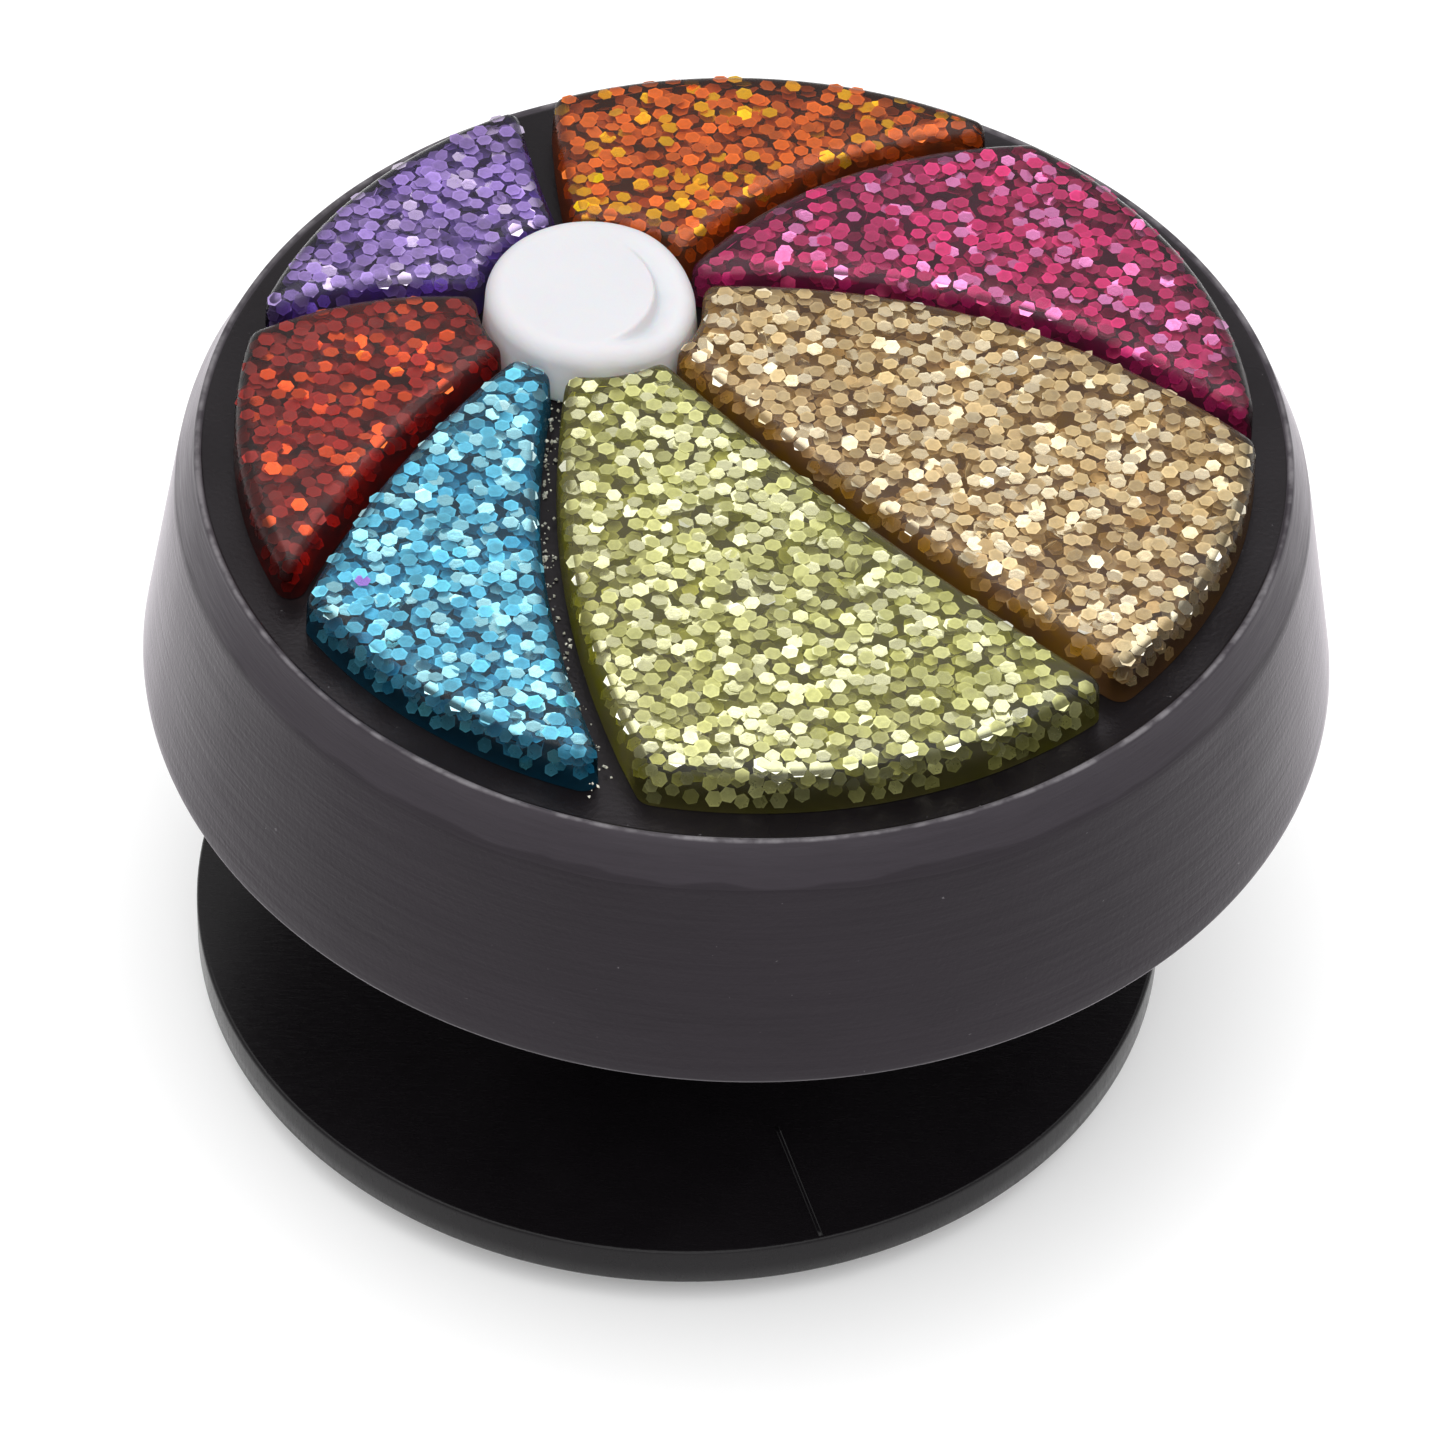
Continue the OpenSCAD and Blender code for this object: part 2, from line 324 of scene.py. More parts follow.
def resin_inside(tree, look, place, wall, far_wall):
    """The shader inside the gloss: clear and tinted, with a veil that is thickest at the walls.
    Where the outer wall or a far wall looks into the black head, it is painted dark: painted shade."""
    clear = add(tree, "ShaderNodeBsdfTransparent", color=(*look["tint"], 1))
    patches = noise_of(tree, place, 2.2, 3, 0.6)
    glow = ramp(tree, patches, [(0.42, look["dark"]), (0.62, look["bright"])])
    rim = remap(tree, radius_in(tree, place), RIM_SHADE_FROM, RIM_SHADE_TO, 0, 1)
    # Painted shade: the body turns nearly black at the outer rim and on far walls.
    tone = tree.nodes.new("ShaderNodeMix")
    tone.data_type = "RGBA"
    tree.links.new(math_node(tree, "MAXIMUM", rim, far_wall), tone.inputs["Factor"])
    tree.links.new(glow, tone.inputs["A"])
    tone.inputs["B"].default_value = (*[c * 0.12 for c in look["dark"]], 1)
    body = tree.nodes.new("ShaderNodeBsdfDiffuse")
    tree.links.new(tone.outputs["Result"], body.inputs["Color"])
    veil = math_node(tree, "ADD", math_node(tree, "MULTIPLY", wall, look["wall"]), look["veil"])
    inner = tree.nodes.new("ShaderNodeMixShader")
    tree.links.new(math_node(tree, "MAXIMUM", veil, far_wall), inner.inputs["Fac"])
    tree.links.new(clear.outputs["BSDF"], inner.inputs[1])
    tree.links.new(body.outputs["BSDF"], inner.inputs[2])
    return inner.outputs["Shader"]


def resin(name, look):
    """Clear tinted resin: it filters what lies inside it and has a satin gloss outside, weaker
    on its walls than on top."""
    material, tree, out = new_material(name)
    place = position(tree)
    wall, outside, far_wall = resin_masks(tree)
    wave = noise_of(tree, place, 1.3, 3)
    ripple = bump(tree, wave, 0.02)
    gloss = tree.nodes.new("ShaderNodeBsdfGlossy")
    tree.links.new(remap(tree, wave, 0.3, 0.7, 0.2, 0.32), gloss.inputs["Roughness"])
    tree.links.new(ripple, gloss.inputs["Normal"])
    edge = add(tree, "ShaderNodeFresnel", ior=1.4)
    tree.links.new(ripple, edge.inputs["Normal"])
    strength = math_node(tree, "MULTIPLY", remap(tree, wall, 0, 1, 1, 0.3), outside)
    mix = tree.nodes.new("ShaderNodeMixShader")
    tree.links.new(math_node(tree, "MULTIPLY", edge.outputs["Fac"], strength), mix.inputs["Fac"])
    tree.links.new(resin_inside(tree, look, place, wall, far_wall), mix.inputs[1])
    tree.links.new(gloss.outputs["BSDF"], mix.inputs[2])
    tree.links.new(mix.outputs["Shader"], out.inputs["Surface"])
    return material


def resin_bed(name, dark, bright):
    """The depth of the resin over the black head: saturated, patchy and dark."""
    material, tree, out = new_material(name)
    shader = add(tree, "ShaderNodeBsdfPrincipled", ior=1.4, roughness=0.5)
    patches = noise_of(tree, position(tree), 1.7, 3, 0.6)
    tree.links.new(ramp(tree, patches, [(0.42, dark), (0.68, bright)]), shader.inputs["Base Color"])
    tree.links.new(remap(tree, patches, 0.3, 0.7, 0.6, 0.35), shader.inputs["Roughness"])
    tree.links.new(shader.outputs["BSDF"], out.inputs["Surface"])
    return material


def glitter(name):
    """Metallised film: each flake's own tint is a colour attribute of its mesh, and the
    attribute's alpha says how mirror-like the flake is."""
    material, tree, out = new_material(name)
    shader = add(tree, "ShaderNodeBsdfPrincipled", ior=1.45)
    tint = tree.nodes.new("ShaderNodeVertexColor")
    tint.layer_name = "flake_tint"
    worn = noise_of(tree, position(tree), 11, 2)
    smudge = ramp(tree, worn, [(0.35, (0.82, 0.82, 0.82)), (0.6, (1, 1, 1))])
    tree.links.new(mix_colours(tree, "MULTIPLY", tint.outputs["Color"], smudge),
                   shader.inputs["Base Color"])
    tree.links.new(remap(tree, tint.outputs["Alpha"], 0, 1, 0.35, 0.95), shader.inputs["Metallic"])
    dull = math_node(tree, "ADD", remap(tree, worn, 0.3, 0.7, 0.05, -0.05),
                     remap(tree, tint.outputs["Alpha"], 0, 1, 0.34, 0.17))
    tree.links.new(dull, shader.inputs["Roughness"])
    tree.links.new(bump(tree, worn, 0.002), shader.inputs["Normal"])
    tree.links.new(shader.outputs["BSDF"], out.inputs["Surface"])
    return material


# ---------------------------------------------------------------- mesh helpers

def make_object(name, verts, faces, materials, smooth=True):
    """An object from points in millimetres."""
    mesh = bpy.data.meshes.new(name)
    mesh.from_pydata([tuple(c * MM for c in v) for v in verts], [], faces)
    mesh.polygons.foreach_set("use_smooth", [smooth] * len(mesh.polygons))
    for material in materials:
        mesh.materials.append(material)
    mesh.validate()
    obj = bpy.data.objects.new(name, mesh)
    bpy.context.scene.collection.objects.link(obj)
    return obj


def keep(obj, node):
    """The piece rides on the one body and stands in for its node, if it has one, which is hidden."""
    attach(obj, "root")
    if node:
        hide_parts(node)


def arc(cx, cz, r, start, end, steps):
    """Points on an arc, angles in degrees."""
    angles = [math.radians(start + (end - start) * i / steps) for i in range(steps + 1)]
    return [(cx + r * math.cos(a), cz + r * math.sin(a)) for a in angles]


def lathe(name, profile, centre, segments, materials, shift=None, slot_of=None):
    """A closed solid of revolution. The profile runs from the axis to the axis; shift(r, z,
    angle) may move a point, for hand-made unevenness; slot_of(r, z) picks a material."""
    verts, faces, rings = [], [], []
    for r, z in profile:
        if r < 1e-6:
            rings.append([len(verts)])
            verts.append((centre[0], centre[1], z))
            continue
        rings.append(list(range(len(verts), len(verts) + segments)))
        for k in range(segments):
            a = 2 * math.pi * k / segments
            rr, zz = shift(r, z, a) if shift else (r, z)
            verts.append((centre[0] + rr * math.cos(a), centre[1] + rr * math.sin(a), zz))
    for lower, upper in zip(rings, rings[1:]):
        for k in range(segments):
            j = (k + 1) % segments
            if len(lower) == 1:
                faces.append((lower[0], upper[j], upper[k]))
            elif len(upper) == 1:
                faces.append((lower[k], lower[j], upper[0]))
            else:
                faces.append((lower[k], lower[j], upper[j], upper[k]))
    solid = make_object(name, verts, faces, materials)
    if slot_of:
        slots = [slot_of((r1 + r2) / 2, (z1 + z2) / 2)
                 for (r1, z1), (r2, z2) in zip(profile, profile[1:]) for _ in range(segments)]
        solid.data.polygons.foreach_set("material_index", slots)
    return solid


def around(a, frequency, seed):
    """Smooth noise from -1 to 1 that closes on itself round a circle."""
    return noise.noise(Vector((frequency * math.cos(a), frequency * math.sin(a), seed)))


# ---------------------------------------------------------------- head

WALL_STEPS = (0.06, 0.2, 0.35, 0.5, 0.65, 0.8, 0.92, 0.97, 1)
CHAMFER_STEPS = (0.06, 0.14, 0.3, 0.5, 0.7, 0.88, 0.95)
FLOOR_RINGS = (6.9, 6, 4, 2, 0)


def along_line(start, end, shares):
    """Points on a straight line from start to end, at shares of its length."""
    return [tuple(a + (b - a) * t for a, b in zip(start, end)) for t in shares]


def head_profile():
    """Socket, underside, rounded lower edge, wall, chamfer, lip and flat top."""
    foot = (SOCKET_R + 0.05, HEAD_Z)
    profile = [(0, BOND_TOP), (SOCKET_R - 0.03, BOND_TOP), (SOCKET_R, BOND_TOP - 0.03),
               (SOCKET_R, HEAD_Z + 0.05), foot]
    profile += along_line(foot, (HEAD_R - EDGE_R, HEAD_Z), (0.3, 0.6, 0.9))
    profile += arc(HEAD_R - EDGE_R, HEAD_Z + EDGE_R, EDGE_R, -90, 4, 7)
    profile += along_line((HEAD_R + 0.003, HEAD_Z + EDGE_R), (SHOULDER_R, SHOULDER_Z), WALL_STEPS)
    profile += along_line((SHOULDER_R, SHOULDER_Z), (RIM_R, TOP_Z), CHAMFER_STEPS)
    inner_r = RIM_R - LIP_W
    lip = [(RIM_R - 0.005, 0.4), (RIM_R - 0.022, 0.85), (RIM_R - LIP_W / 2, 1),
           (inner_r + 0.02, 0.6), (inner_r, 0.15), (inner_r - 0.03, 0)]
    profile += [(r, TOP_Z + share * LIP_H) for r, share in lip]
    return profile + [(r, TOP_Z) for r in FLOOR_RINGS]


def head_uneven(r, z, a):
    """The chamfer line wanders, the wall is slightly wavy and the lip's height varies."""
    near_shoulder = math.exp(-((z - SHOULDER_Z) / 0.22) ** 2) if r > 7.2 else 0
    on_wall = 1.0 if HEAD_Z + 0.3 < z < TOP_Z - 0.02 and r > 7.2 else 0
    z += near_shoulder * (0.09 * around(a, 2.2, 1.5) + 0.03 * around(a, 7, 4.2))
    r += on_wall * (0.012 * around(a, 1.7, 8.1) + 0.006 * around(a, 9, 2.4))
    if z > TOP_Z + 0.001:
        z += 0.4 * LIP_H * around(a, 5, 6.6)
    return min(r, HEAD_R), z


def head_surface(r, z):
    """Material slot: 2 on the floor under the panels, 1 on the scuffed chamfer and rounded lower
    edge, which carry painted light, else 0.
    """
    if z > TOP_Z - 0.001 and r < RIM_R - LIP_W + 0.01:
        return 2
    on_chamfer = z > SHOULDER_Z and r > 7
    # The rounded lower edge is a touch paler: painted light from the white floor.
    on_lower_edge = r > 7.5 and z < HEAD_Z + 2 * EDGE_R
    return 1 if on_chamfer or on_lower_edge else 0


def head():
    """The flared head, cut off flat under the panels."""
    wall = black_pvc("black_pvc", (0.0066, 0.0046, 0.0069), (0.0106, 0.0078, 0.0110),
                     rough=0.5, dusty=0.75, bloom=0.7)
    # The chamfer and the lower edge: scuffed, with painted light, and a painted highlight on the lip.
    worn = scuffed_pvc()
    floor = black_pvc("floor_pvc", (0.0034, 0.0026, 0.0030), (0.0070, 0.0056, 0.0064),
                      rough=0.3, dusty=0.74, bloom=0.25)
    moulding = lathe("head_moulding", head_profile(), (0, 0), 384, [wall, worn, floor],
                     head_uneven, head_surface)
    keep(moulding, "head_body")


# ---------------------------------------------------------------- button back

# Disc, stem with its root fillet, bevel under the disc's edge, anchor flange, gate recess.
DISC_T, DISC_EDGE_R = 1.14, 0.06
STEM_R, STEM_FILLET = 2.5, 0.5
BEVEL_H, BEVEL_W = 0.52, 0.6
FLANGE_R = 4.2
GATE_R, GATE_DEPTH = 1.1, 0.25


def button():
    """Snap disc with rounded edges, stem, and the anchor flange in the socket."""
    profile = [(0, GATE_DEPTH), (GATE_R - 0.1, GATE_DEPTH), (GATE_R - 0.03, GATE_DEPTH - 0.04),
               (GATE_R, 0.06), (GATE_R + 0.06, 0), (3.2, 0), (5, 0),
               (DISC_R - BEVEL_W - 0.06, 0), (DISC_R - BEVEL_W, 0.012),
               (DISC_R - 0.5 * BEVEL_W, 0.5 * BEVEL_H), (DISC_R - 0.03, BEVEL_H - 0.02),
               (DISC_R, BEVEL_H + 0.03), (DISC_R, 0.8)]
    profile += arc(DISC_R - DISC_EDGE_R, DISC_T - DISC_EDGE_R, DISC_EDGE_R, 0, 90, 6)
    profile += [(5.2, DISC_T), (4, DISC_T)]
    profile += arc(STEM_R + STEM_FILLET, DISC_T + STEM_FILLET, STEM_FILLET, -90, -180, 7)
    profile += [(STEM_R, 3), (STEM_R, 4.6), (STEM_R, HEAD_Z - 0.2), (STEM_R + 0.06, HEAD_Z - 0.06),
                (STEM_R + 0.2, HEAD_Z), (FLANGE_R - 0.05, HEAD_Z), (FLANGE_R, HEAD_Z + 0.05),
                (FLANGE_R, BUTTON_HIGH[2] - 0.04), (FLANGE_R - 0.04, BUTTON_HIGH[2]),
                (0, BUTTON_HIGH[2])]
    plastic = button_plastic()
    solid = lathe("button", profile, (BUTTON_X, BUTTON_Y), 256, [plastic])
    keep(solid, "button_back")
    mould_line(plastic)


def mould_line(material):
    """The faint raised line that the mould's parting leaves on the disc's top face."""
    start, end, direction = 4.7, DISC_R - DISC_EDGE_R, math.radians(-71.6)
    half_width, height, steps = 0.035, 0.022, 16
    along = Vector((math.cos(direction), math.sin(direction), 0))
    across = Vector((-along.y, along.x, 0))
    section = [(-1, -0.4), (1, -0.4), (0.8, 0.5), (0.3, 1), (-0.3, 1), (-0.8, 0.5)]
    verts, faces, count = [], [], len(section)
    for i in range(steps + 1):
        share = math.sin(math.pi * min(max(i / steps, 0.04), 0.96)) ** 0.3
        middle = Vector((BUTTON_X, BUTTON_Y, DISC_T)) + along * (start + (end - start) * i / steps)
        verts += [middle + across * (u * half_width) + Vector((0, 0, v * height * share))
                  for u, v in section]
    for i in range(steps):
        for k in range(count):
            j = (k + 1) % count
            faces.append((i * count + k, i * count + j, (i + 1) * count + j, (i + 1) * count + k))
    faces.append(tuple(reversed(range(count))))
    faces.append(tuple(steps * count + k for k in range(count)))
    keep(make_object("mould_line", verts, faces, [material]), None)


# ---------------------------------------------------------------- end cap

# The cap's raised disc, and the ledge beyond it: how deep it is, the angles between which it
# shows, and how many degrees it takes to fade out at each end.
CREST_X, CREST_Y, CREST_R = -0.21, -0.12, 1.1
LEDGE_DEPTH, LEDGE_FROM, LEDGE_TO, LEDGE_FADE = 0.23, -66, 58, 50
CAP_EDGE_R, CAP_DRAFT = 0.28, 0.04
STEPPED_H = 0.5


def smooth_step(x):
    """0 below 0, 1 above 1, smooth between."""
    x = min(max(x, 0.0), 1.0)
    return x * x * (3 - 2 * x)


def ledge_drop(x, y):
    """How far the cap's top steps down outside its raised disc."""
    beyond = math.hypot(x - CREST_X, y - CREST_Y) - CREST_R
    turn = (math.degrees(math.atan2(y + 0.2, x + 0.3)) + 180) % 360 - 180
    fade = smooth_step((LEDGE_TO - turn) / LEDGE_FADE) * smooth_step((turn - LEDGE_FROM) / LEDGE_FADE)
    shallower = 1 - 0.3 * smooth_step(beyond / 0.5)
    return LEDGE_DEPTH * smooth_step(beyond / 0.09 + 0.5) * fade * shallower


def cap_stepped(r, z, a):
    """Lowers the upper part of the cap to the ledge, and its top a little towards the rim."""
    z -= TOP_Z
    if z > CAP_H - STEPPED_H:
        drop = ledge_drop(r * math.cos(a), r * math.sin(a))
        sag = 0.02 * (r / CAP_R) ** 2
        z -= (drop + sag) * smooth_step((z - (CAP_H - STEPPED_H)) / 0.3)
    return r, z + TOP_Z


def end_cap():
    """The white cap: its top steps down on the right to a crescent that fades at both ends."""
    rim_r = CAP_R - CAP_DRAFT - CAP_EDGE_R
    profile = [(0, 0), (CAP_R * 0.6, 0), (CAP_R - 0.02, 0), (CAP_R - 0.004, 0.02),
               (CAP_R - 0.004, 0.06), (CAP_R - 0.4 * CAP_DRAFT, 0.22)]
    profile += arc(rim_r, CAP_H - CAP_EDGE_R, CAP_EDGE_R, 0, 90, 12)
    profile += [(rim_r * (1 - i / 44), CAP_H) for i in range(1, 45)]
    cap = lathe("cap_moulding", [(r, z + TOP_Z) for r, z in profile], (CAP_X, CAP_Y), 160,
                [cap_pvc()], cap_stepped)
    keep(cap, "end_cap")


# ---------------------------------------------------------------- panels

# The resin bodies: radius of the outline's corners, radius of the rounded top edge, how much
# the wall leans in, the gap under the body, and the spacing of points on walls and top.
PANEL_CORNER_R, EDGE_ROUND, WALL_DRAFT, BED_LIFT = 0.2, 0.25, 0.02, 0.012
OUTLINE_STEP, GRID_STEP = 0.06, 0.22
# Outside this radius a panel's wall is the outer rim, and inside it a seam.
SEAM_LIMIT_R = 6.6

# The flakes: radius, thickness, how deep their tops are dished and how wide the dish is.
FLAKE_R, FLAKE_T, FLAKE_DISH, DISH_SHARE = 0.117, 0.005, 0.0012, 0.68
FLAKE_AREA = 2.6 * FLAKE_R ** 2
# Depths of the level layers, how many of them hold glints, and the depth of the full deep tint.
LAYER_DEPTHS = (0.03, 0.07, 0.12, 0.18, 0.25, 0.33)
GLINT_LAYERS, DEEP_TINT_AT = 3, 0.2
# Shares of the flakes that lean, and that lean or stand, where they lie calm and where the
# pour was disturbed.
CALM_SHARES, STIRRED_SHARES = (0.05, 0.06), (0.45, 0.55)
# Places where the pour was disturbed: x, y and radius.
DISTURBED = ((3.9, -2.5, 1.2), (1.3, -3.2, 0.45), (-0.6, 1.0, 0.35))
# One violet flake strayed into the blue panel: x, y, depth, tint and shine.
STRAY_X, STRAY_Y, STRAY_DEPTH = -4.88, -3.54, 0.03
STRAY_TINT, STRAY_SHINE = (0.62, 0.2, 0.75), 0.2

# Each panel: resin tint, dark and bright tone of its depth (the bright tone also paints the glow
# of the seam flakes), how cloudy the resin is from above (veil) and at its walls (wall), flake
# tint near the surface and deep down, tint and share of the glint flakes (near-mirrors whose pale
# tint is a painted glint), how far flakes may fade to grey, and the share of each layer that
# flakes cover (fill).
PANELS = {
    "violet": dict(tint=(0.94, 0.90, 0.98), dark=(0.12, 0.080, 0.180), bright=(0.14, 0.06, 0.48),
                   veil=0.08, wall=0.10, flake=(0.48, 0.33, 0.76), deep=(0.18, 0.10, 0.40),
                   glint=(0.94, 0.84, 1.0), glints=0.16, grey=0.14, fill=0.36),
    "orange": dict(tint=(0.98, 0.86, 0.68), dark=(0.24, 0.068, 0.026), bright=(0.60, 0.09, 0.010),
                   veil=0.06, wall=0.10, flake=(0.88, 0.19, 0.016), deep=(0.44, 0.060, 0.006),
                   glint=(1.0, 0.68, 0.010), glints=0.3, grey=0.0, fill=0.28),
    "pink": dict(tint=(0.97, 0.80, 0.90), dark=(0.20, 0.030, 0.078), bright=(0.44, 0.018, 0.13),
                 veil=0.08, wall=0.10, flake=(0.76, 0.038, 0.21), deep=(0.34, 0.012, 0.065),
                 glint=(1.0, 0.50, 0.85), glints=0.26, grey=0.02, fill=0.26),
    "gold": dict(tint=(0.98, 0.95, 0.86), dark=(0.42, 0.200, 0.085), bright=(0.60, 0.28, 0.016),
                 veil=0.10, wall=0.09, flake=(0.81, 0.68, 0.43), deep=(0.50, 0.30, 0.11),
                 glint=(1.0, 0.96, 0.84), glints=0.42, grey=0.1, fill=0.34),
    "green": dict(tint=(0.97, 0.97, 0.84), dark=(0.38, 0.330, 0.115), bright=(0.42, 0.40, 0.016),
                  veil=0.11, wall=0.09, flake=(0.80, 0.81, 0.44), deep=(0.40, 0.39, 0.06),
                  glint=(1.0, 1.0, 0.86), glints=0.58, grey=0.1, fill=0.31),
    "blue": dict(tint=(0.80, 0.95, 0.99), dark=(0.024, 0.19, 0.32), bright=(0.008, 0.24, 0.44),
                 veil=0.08, wall=0.09, flake=(0.23, 0.74, 0.92), deep=(0.018, 0.32, 0.55),
                 glint=(0.74, 1.0, 1.0), glints=0.42, grey=0.05, fill=0.32),
    "red": dict(tint=(0.97, 0.76, 0.72), dark=(0.12, 0.018, 0.020), bright=(0.50, 0.014, 0.008),
                veil=0.08, wall=0.10, flake=(0.36, 0.018, 0.012), deep=(0.17, 0.008, 0.006),
                glint=(1.0, 0.20, 0.040), glints=0.26, grey=0.0, fill=0.24),
}


def area_of(loop):
    """The area inside a loop, negative if it runs clockwise."""
    x, y = loop.T
    return 0.5 * np.sum(x * np.roll(y, -1) - np.roll(x, -1) * y)


def top_outline(node):
    """The outline of a CAD panel's top face, as an anticlockwise loop of points."""
    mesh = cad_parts[node].data
    points = np.empty(len(mesh.vertices) * 3)
    mesh.vertices.foreach_get("co", points)
    points = points.reshape(-1, 3) / MM
    top = points[:, 2].max()
    keys = [tuple(p) for p in np.round(points, 4)]
    # An edge inside the face runs both ways and drops out. Where the rounding merges two
    # corners, the edge between them has no length and is left out.
    edges = set()
    for polygon in mesh.polygons:
        corners = [keys[i] for i in polygon.vertices]
        if all(abs(c[2] - top) < 1e-3 for c in corners):
            for a, b in zip(corners, corners[1:] + corners[:1]):
                if (b, a) in edges:
                    edges.remove((b, a))
                elif a != b:
                    edges.add((a, b))
    following = dict(edges)
    start = min(following)
    loop, here = [start], following[start]
    while here != start:
        loop.append(here)
        here = following[here]
    loop = np.array(loop)[:, :2]
    return loop if area_of(loop) > 0 else loop[::-1]


def resample(loop, step):
    """The loop with points at even spacing, softened a little so that its facets go."""
    closed = np.vstack([loop, loop[:1]])
    along = np.concatenate([[0], np.cumsum(np.hypot(*np.diff(closed, axis=0).T))])
    count = int(round(along[-1] / step))
    at = np.arange(count) * along[-1] / count
    even = np.stack([np.interp(at, along, closed[:, k]) for k in (0, 1)], axis=1)
    return (np.roll(even, 1, 0) + 2 * even + np.roll(even, -1, 0)) / 4


def normals_of(loop):
    """Outward unit normals of an anticlockwise loop."""
    tangent = np.roll(loop, -1, 0) - np.roll(loop, 1, 0)
    tangent /= np.hypot(*tangent.T)[:, None]
    return np.stack([tangent[:, 1], -tangent[:, 0]], axis=1)


def inside(points, loop):
    """Which points lie inside the loop."""
    x, y = points[:, 0][:, None], points[:, 1][:, None]
    x1, y1 = loop[:, 0], loop[:, 1]
    x2, y2 = np.roll(x1, -1), np.roll(y1, -1)
    crosses = (y1 > y) != (y2 > y)
    with np.errstate(divide="ignore", invalid="ignore"):
        at = x1 + (y - y1) * (x2 - x1) / (y2 - y1)
    return (np.sum(crosses & (x < at), axis=1) % 2) == 1


def nearest(points, loop):
    """Distance from each point to the nearest loop point, and that loop point's index."""
    gaps = np.hypot(points[:, 0][:, None] - loop[:, 0], points[:, 1][:, None] - loop[:, 1])
    index = gaps.argmin(axis=1)
    return gaps[np.arange(len(points)), index], index


def inset_ring(loop, outward, inset):
    """The loop moved in by a distance. Where a corner is tighter than that, its points close
    up on a short straight edge, so that the ring never crosses itself."""
    ring = loop - outward * inset
    if inset < 0.9 * PANEL_CORNER_R:
        return ring
    shares = np.arange(4)[:, None, None] / 4
    fine = (loop * (1 - shares) + np.roll(loop, -1, 0) * shares).reshape(-1, 2)
    gap, _ = nearest(ring, fine)
    tight = gap < 0.995 * inset
    tight |= np.roll(tight, 1) | np.roll(tight, -1)
    count = len(ring)
    for start in np.flatnonzero(tight & ~np.roll(tight, 1)):
        run = 1
        while tight[(start + run) % count]:
            run += 1
        first, last = ring[start - 1].copy(), ring[(start + run) % count].copy()
        for k in range(run):
            ring[(start + k) % count] = first + (last - first) * (k + 1) / (run + 1)
    return ring


def fill_loop(ring, spare):
    """Triangles that fill a ring of 2-D points, with spare points inside it."""
    points = [Vector(p) for p in ring] + [Vector(p) for p in spare]
    edges = [(i, (i + 1) % len(ring)) for i in range(len(ring))]
    filled = delaunay_2d_cdt(points, edges, [], 1, 1e-7)
    return filled[0], filled[2]


def body_rings(height):
    """(inset, height) of the rings of a resin body, from its foot over its rounded edge."""
    rings = [(0.0, BED_LIFT), (0.001, BED_LIFT + 0.005), (0.3 * WALL_DRAFT, 0.25 * height),
             (WALL_DRAFT, height - EDGE_ROUND)]
    for degrees in (18, 36, 54, 72, 90):
        a = math.radians(degrees)
        rings.append((WALL_DRAFT + EDGE_ROUND * (1 - math.cos(a)),
                      height - EDGE_ROUND + EDGE_ROUND * math.sin(a)))
    return rings


def top_grid(loop, margin):
    """Points in a staggered grid, inside the loop and clear of it by a margin."""
    low, high = loop.min(0), loop.max(0)
    xs = np.arange(low[0], high[0], GRID_STEP)
    ys = np.arange(low[1], high[1], GRID_STEP)
    grid = np.array([(x + (GRID_STEP / 2 if j % 2 else 0), y) for j, y in enumerate(ys) for x in xs])
    gap, _ = nearest(grid, loop)
    return grid[inside(grid, loop) & (gap > margin)]


def resin_body(name, loop, height, materials):
    """A closed slab on the outline: drafted wall, rounded top edge, gently uneven top. Its
    underside has the second material."""
    outward = normals_of(loop)
    rings = body_rings(height)
    count = len(loop)
    verts, faces = [], []
    for inset, z in rings:
        verts += [(x, y, TOP_Z + z) for x, y in inset_ring(loop, outward, inset)]
    for base in range(0, (len(rings) - 1) * count, count):
        for i in range(count):
            j = (i + 1) % count
            faces.append((base + i, base + j, base + count + j, base + count + i))
    base = len(verts) - count
    grid = top_grid(loop, rings[-1][0] + 0.1)
    points, triangles = fill_loop([v[:2] for v in verts[base:]], grid)
    for p in points[count:]:
        wave = noise.noise(Vector((p[0] * 0.9, p[1] * 0.9, 3.3))) * 0.02
        verts.append((p[0], p[1], TOP_Z + height - 0.012 + wave))
    faces += [tuple(base + i for i in t) for t in triangles]
    upper_faces = len(faces)
    faces += [tuple(reversed(t)) for t in fill_loop(loop, [])[1]]
    body = make_object(name, verts, faces, materials)
    for polygon in body.data.polygons[upper_faces:]:
        polygon.material_index = 1
    return body


def spread(points, gap, limit):
    """Keeps points, in order, that lie at least gap apart, up to a limit."""
    kept, near = [], {}
    for p in points:
        cx, cy = int(p[0] // gap), int(p[1] // gap)
        crowd = (q for i in (-1, 0, 1) for j in (-1, 0, 1) for q in near.get((cx + i, cy + j), ()))
        if all((p[0] - q[0]) ** 2 + (p[1] - q[1]) ** 2 > gap * gap for q in crowd):
            near.setdefault((cx, cy), []).append(p)
            kept.append(p)
            if len(kept) >= limit:
                break
    return kept


def tilt_vector(direction, angle):
    """A unit normal tipped from +Z by an angle in degrees towards a 2-D direction."""
    a = math.radians(angle)
    return Vector((direction[0] * math.sin(a), direction[1] * math.sin(a), math.cos(a)))


def blend_colour(first, second, share):
    """A colour that is a share of the way from the first to the second."""
    return [a * (1 - share) + b * share for a, b in zip(first, second)]


def own_tint(rng, look, share):
    """A flake's own tint: share is 0 for the surface colour and 1 for the deepest."""
    tint = blend_colour(look["flake"], look["deep"], min(max(share, 0), 1))
    grey = sum(tint) / 3
    tint = blend_colour(tint, (grey, grey, grey), rng.uniform(0, look["grey"]))
    shade = rng.uniform(0.62, 1.2)
    return [min(1.0, c * shade) for c in tint]


